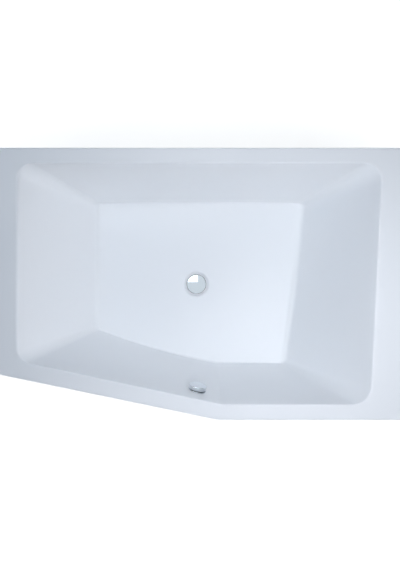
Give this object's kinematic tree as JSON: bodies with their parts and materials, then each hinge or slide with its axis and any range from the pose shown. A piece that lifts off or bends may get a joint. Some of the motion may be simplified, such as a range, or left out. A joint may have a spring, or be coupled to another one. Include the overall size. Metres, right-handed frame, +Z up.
{
  "type": "asymmetric built-in bath",
  "caption": "White acrylic bath with a diagonal front and sloping walls, on a foot frame, with apron, rotary overflow and pop-up waste.",
  "frame": {"origin": "on the floor, below the middle of the bounding box", "axes": "+X along the back wall towards the wide end, +Y towards the back wall, +Z up"},
  "size_m": [1.5, 1, 0.6],
  "materials": {
    "acrylic": "high gloss, faintly bluish white sanitary acrylic",
    "laminate": "rough sprayed glass-fibre resin",
    "chipboard": "raw chipboard sealed with resin",
    "galvanised": "galvanised sheet steel with faint spangle",
    "zinc_fasteners": "zinc-plated",
    "white_screws": "white lacquered heads",
    "black_rubber": "matt rubber",
    "clip_plastic": "moulded grey plastic",
    "steel": "fine turned stainless steel",
    "chrome": "polished chrome",
    "waste_plastic": "white moulded polypropylene",
    "lever_plastic": "dark grey acetal",
    "cable_sheath": "black extruded sheath",
    "foot_plastic": "black moulded plastic with a fine grain"
  },
  "bodies": {
    "root": {"base_board": "chipboard", "bowden_cable": "cable_sheath", "bracket_pads": "black_rubber", "cable_nuts": "waste_plastic", "drain_flange": "steel", "drain_seal_lower": "black_rubber", "drain_seal_upper": "black_rubber", "foot_lock_nuts": "zinc_fasteners", "front_panel": "acrylic", "laminate_backing": "laminate", "lever_pin": "steel", "outlet_pipe": "waste_plastic", "overflow_body": "waste_plastic", "overflow_pipe": "waste_plastic", "overflow_rose": "chrome", "overflow_screws": "zinc_fasteners", "overflow_seal": "black_rubber", "panel_clips": "clip_plastic", "panel_screws": "white_screws", "pipe_nuts": "waste_plastic", "rail_centre": "galvanised", "rail_left": "galvanised", "rail_right": "galvanised", "rail_screws": "zinc_fasteners", "rim_supports": "galvanised", "rose_seal": "black_rubber", "support_bolts": "zinc_fasteners", "support_pads": "black_rubber", "trap_body": "waste_plastic", "trap_nuts": "waste_plastic", "tub_shell": "acrylic", "wall_brackets": "galvanised", "waste_body": "waste_plastic"},
    "overflow_knob": {"overflow_knob": "chrome", "knob_spindle": "steel"},
    "drain_plug": {"plug_cap": "chrome", "plug_stem": "lever_plastic", "plug_seal": "black_rubber"},
    "lift_lever": {"lift_lever": "lever_plastic"},
    "foot_left_front": {"foot_rod_left_front": "zinc_fasteners", "foot_pad_left_front": "foot_plastic"},
    "foot_left_back": {"foot_rod_left_back": "zinc_fasteners", "foot_pad_left_back": "foot_plastic"},
    "foot_centre_front": {"foot_rod_centre_front": "zinc_fasteners", "foot_pad_centre_front": "foot_plastic"},
    "foot_centre_back": {"foot_rod_centre_back": "zinc_fasteners", "foot_pad_centre_back": "foot_plastic"},
    "foot_right_front": {"foot_rod_right_front": "zinc_fasteners", "foot_pad_right_front": "foot_plastic"},
    "foot_right_back": {"foot_rod_right_back": "zinc_fasteners", "foot_pad_right_back": "foot_plastic"}
  },
  "joints": [
    {"name": "knob_turn", "type": "hinge", "parent": "root", "child": "overflow_knob", "pos_m": [-0.011, -0.40105, 0.51], "axis": [0.2029, 0.9531, 0.2244], "range_deg": [0, 90]},
    {"name": "plug_lift", "type": "slide", "parent": "root", "child": "drain_plug", "axis": [0, 0, 1], "range_m": [0, 0.01]},
    {"name": "lever_rock", "type": "hinge", "parent": "root", "child": "lift_lever", "pos_m": [0.012, 0, 0.1017], "axis": [0, 1, 0], "range_deg": [0, 21.34]},
    {"name": "foot_left_front_screw", "type": "slide", "parent": "root", "child": "foot_left_front", "axis": [0, 0, 1], "range_m": [-0.015, 0.015]},
    {"name": "foot_left_back_screw", "type": "slide", "parent": "root", "child": "foot_left_back", "axis": [0, 0, 1], "range_m": [-0.015, 0.015]},
    {"name": "foot_centre_front_screw", "type": "slide", "parent": "root", "child": "foot_centre_front", "axis": [0, 0, 1], "range_m": [-0.015, 0.015]},
    {"name": "foot_centre_back_screw", "type": "slide", "parent": "root", "child": "foot_centre_back", "axis": [0, 0, 1], "range_m": [-0.015, 0.015]},
    {"name": "foot_right_front_screw", "type": "slide", "parent": "root", "child": "foot_right_front", "axis": [0, 0, 1], "range_m": [-0.015, 0.015]},
    {"name": "foot_right_back_screw", "type": "slide", "parent": "root", "child": "foot_right_back", "axis": [0, 0, 1], "range_m": [-0.015, 0.015]}
  ],
  "couplings": [
    {"joint": "knob_turn", "follows": "plug_lift", "rad_per_m": 157.08},
    {"joint": "lever_rock", "follows": "plug_lift", "rad_per_m": 37.252}
  ]
}
